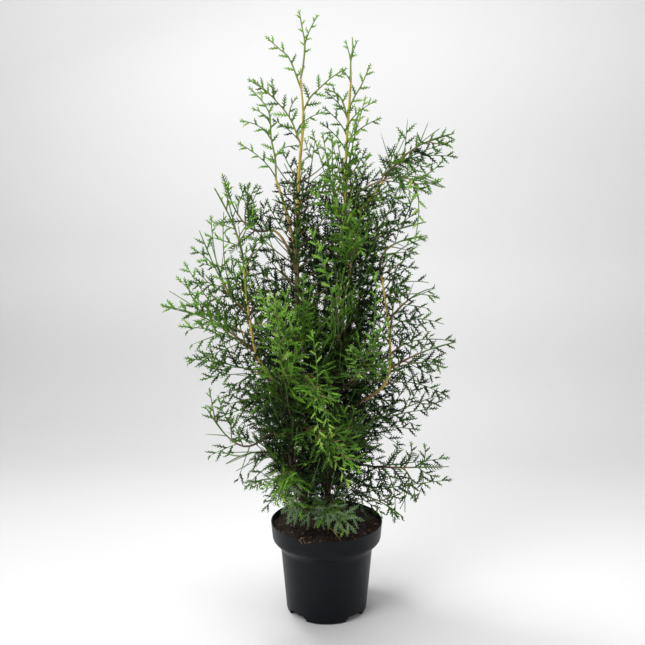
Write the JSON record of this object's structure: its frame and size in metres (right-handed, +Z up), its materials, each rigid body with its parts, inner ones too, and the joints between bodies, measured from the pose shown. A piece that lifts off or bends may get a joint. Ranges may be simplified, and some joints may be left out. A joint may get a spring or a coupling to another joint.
{
  "type": "potted brabant arborvitae",
  "caption": "Young columnar conifer with slim leaders and flat scale-leaved sprays, growing in a round black nursery pot.",
  "frame": {"origin": "centre of the pot's underside, on the surface it stands on", "axes": "+Z up along the plant, +X to the right and +Y away from a viewer who faces it"},
  "size_m": [0.4841, 0.3297, 0.989],
  "materials": {
    "black_plastic": "satin",
    "potting_soil": "matte",
    "bark": "matte",
    "foliage": "matte"
  },
  "bodies": {
    "root": {"back_foot": "foliage", "back_left_bough": "bark", "back_left_frond": "foliage", "back_low_left": "foliage", "back_low_right": "foliage", "back_mid": "foliage", "back_right_bough": "bark", "back_right_frond": "foliage", "back_top": "foliage", "back_upper_left": "foliage", "back_upper_right": "foliage", "front_droop_lower": "foliage", "front_droop_upper": "foliage", "front_foot": "foliage", "front_low_left": "foliage", "front_mid": "foliage", "front_right": "foliage", "front_top": "foliage", "front_upright": "foliage", "inner_back_mid": "foliage", "inner_front_low": "foliage", "inner_front_mid": "foliage", "inner_front_upper": "foliage", "left_arch_bough": "bark", "left_arch_frond": "foliage", "left_foot_frond": "foliage", "left_leader_left": "foliage", "left_leader_low": "foliage", "left_leader_right": "foliage", "left_leader_tip": "foliage", "left_low_bough": "bark", "left_low_frond": "foliage", "left_low_front": "foliage", "left_outer_low": "foliage", "left_outer_mid": "foliage", "left_outer_upper": "foliage", "left_side_stem": "bark", "left_side_tip": "foliage", "left_stem": "bark", "pot": "black_plastic", "right_cluster_front": "foliage", "right_cluster_low": "foliage", "right_cluster_top": "foliage", "right_foot_frond": "foliage", "right_leader_left": "foliage", "right_leader_right": "foliage", "right_leader_tip": "foliage", "right_low_bough": "bark", "right_low_frond": "foliage", "right_outer_low": "foliage", "right_outer_mid": "foliage", "right_outer_upper": "foliage", "right_side_stem": "bark", "right_side_tip": "foliage", "right_stem": "bark", "soil": "potting_soil", "upper_left_bough": "bark", "upper_left_tip": "foliage", "upper_right_bough": "bark"}
  },
  "joints": []
}
